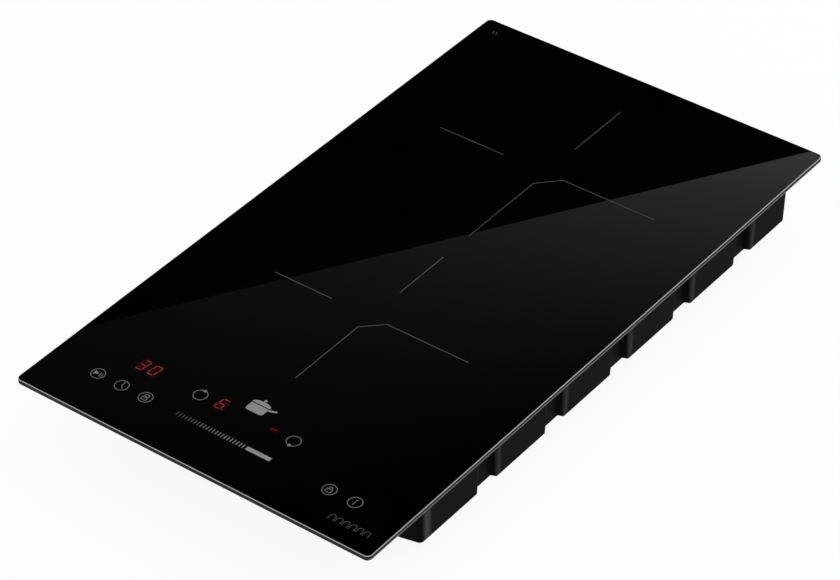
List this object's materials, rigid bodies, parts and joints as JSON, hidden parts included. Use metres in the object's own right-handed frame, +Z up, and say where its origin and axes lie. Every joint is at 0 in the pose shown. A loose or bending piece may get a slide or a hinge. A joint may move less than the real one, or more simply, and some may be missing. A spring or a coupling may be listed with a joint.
{
  "type": "induction cooktop",
  "caption": "Slim built-in induction cooktop: a black glass panel with printed cooking zones and front touch controls over a shallow moulded case with recessed side walls.",
  "frame": {"origin": "centre of the flat underside of the case, under the middle of the glass panel", "axes": "+X to the user's right, +Y to the back of the worktop, +Z up; the touch controls are at the -Y end"},
  "size_m": [0.29, 0.52, 0.056],
  "materials": {
    "black_glass": "polished black glass ceramic with a ground edge",
    "seal_foam": "closed-cell foam tape",
    "silicone": "cured silicone bond",
    "case_plastic": "fine moulded texture",
    "frame_steel": "zinc-plated sheet",
    "sheet_aluminium": "mill-finish sheet",
    "circuit_board": "green solder mask",
    "extruded_aluminium": "extruded, sawn ends",
    "device_plastic": "moulded epoxy",
    "capacitor_case": "film capacitor case",
    "capacitor_sleeve": "shrunk sleeve",
    "filter_case": "film capacitor case",
    "copper_wire": "enamelled copper wire",
    "ferrite": "sintered ferrite",
    "fuse_metal": "nickel-plated caps and clips",
    "terminal_nylon": "moulded nylon",
    "inlet_nylon": "moulded nylon",
    "fan_plastic": "moulded PBT",
    "holder_plastic": "moulded ABS",
    "ribbon_pvc": "flat PVC cable",
    "display_lens": "red LED display",
    "former_plastic": "glass-filled polyester",
    "mica": "bonded mica sheet",
    "sensor_silicone": "silicone sensor cap",
    "screw_steel": "zinc-plated"
  },
  "bodies": {
    "cooktop": {"back_coil_former": "former_plastic", "back_coil_winding": "copper_wire", "back_ferrite_1": "ferrite", "back_ferrite_2": "ferrite", "back_ferrite_3": "ferrite", "back_ferrite_4": "ferrite", "back_heat_sensor": "sensor_silicone", "back_mica_disc": "mica", "back_resonant_capacitor": "capacitor_case", "back_transistor": "device_plastic", "bottom_case": "case_plastic", "bridge_rectifier": "device_plastic", "bus_capacitor": "capacitor_case", "buzzer": "device_plastic", "cable_inlet": "inlet_nylon", "case_screw_back_left": "screw_steel", "case_screw_back_right": "screw_steel", "case_screw_front_left": "screw_steel", "case_screw_front_right": "screw_steel", "coil_plate": "sheet_aluminium", "control_board": "circuit_board", "control_cable": "ribbon_pvc", "control_holder": "holder_plastic", "fan_cover": "fan_plastic", "fan_housing": "fan_plastic", "fan_motor": "copper_wire", "filter_board": "circuit_board", "filter_capacitor": "filter_case", "front_coil_former": "former_plastic", "front_coil_winding": "copper_wire", "front_ferrite_1": "ferrite", "front_ferrite_2": "ferrite", "front_ferrite_3": "ferrite", "front_ferrite_4": "ferrite", "front_heat_sensor": "sensor_silicone", "front_mica_disc": "mica", "front_resonant_capacitor": "capacitor_case", "front_transistor": "device_plastic", "glass_adhesive": "silicone", "glass_panel": "black_glass", "heatsink": "extruded_aluminium", "left_zone_display": "display_lens", "mains_choke": "copper_wire", "mains_fuse": "fuse_metal", "plate_screw_back_left": "screw_steel", "plate_screw_back_right": "screw_steel", "plate_screw_front_left": "screw_steel", "plate_screw_front_right": "screw_steel", "power_board": "circuit_board", "reservoir_capacitor": "capacitor_sleeve", "right_zone_display": "display_lens", "supply_transformer": "ferrite", "terminal_block": "terminal_nylon", "timer_display": "display_lens", "top_frame": "frame_steel", "touch_board": "circuit_board", "worktop_seal": "seal_foam"},
    "fan_rotor": {"fan_impeller": "fan_plastic"}
  },
  "joints": [
    {"name": "fan_spin", "type": "hinge", "parent": "cooktop", "child": "fan_rotor", "pos_m": [-0.06108, 0.16408, 0.02], "axis": [0, 0, 1], "continuous": true}
  ]
}
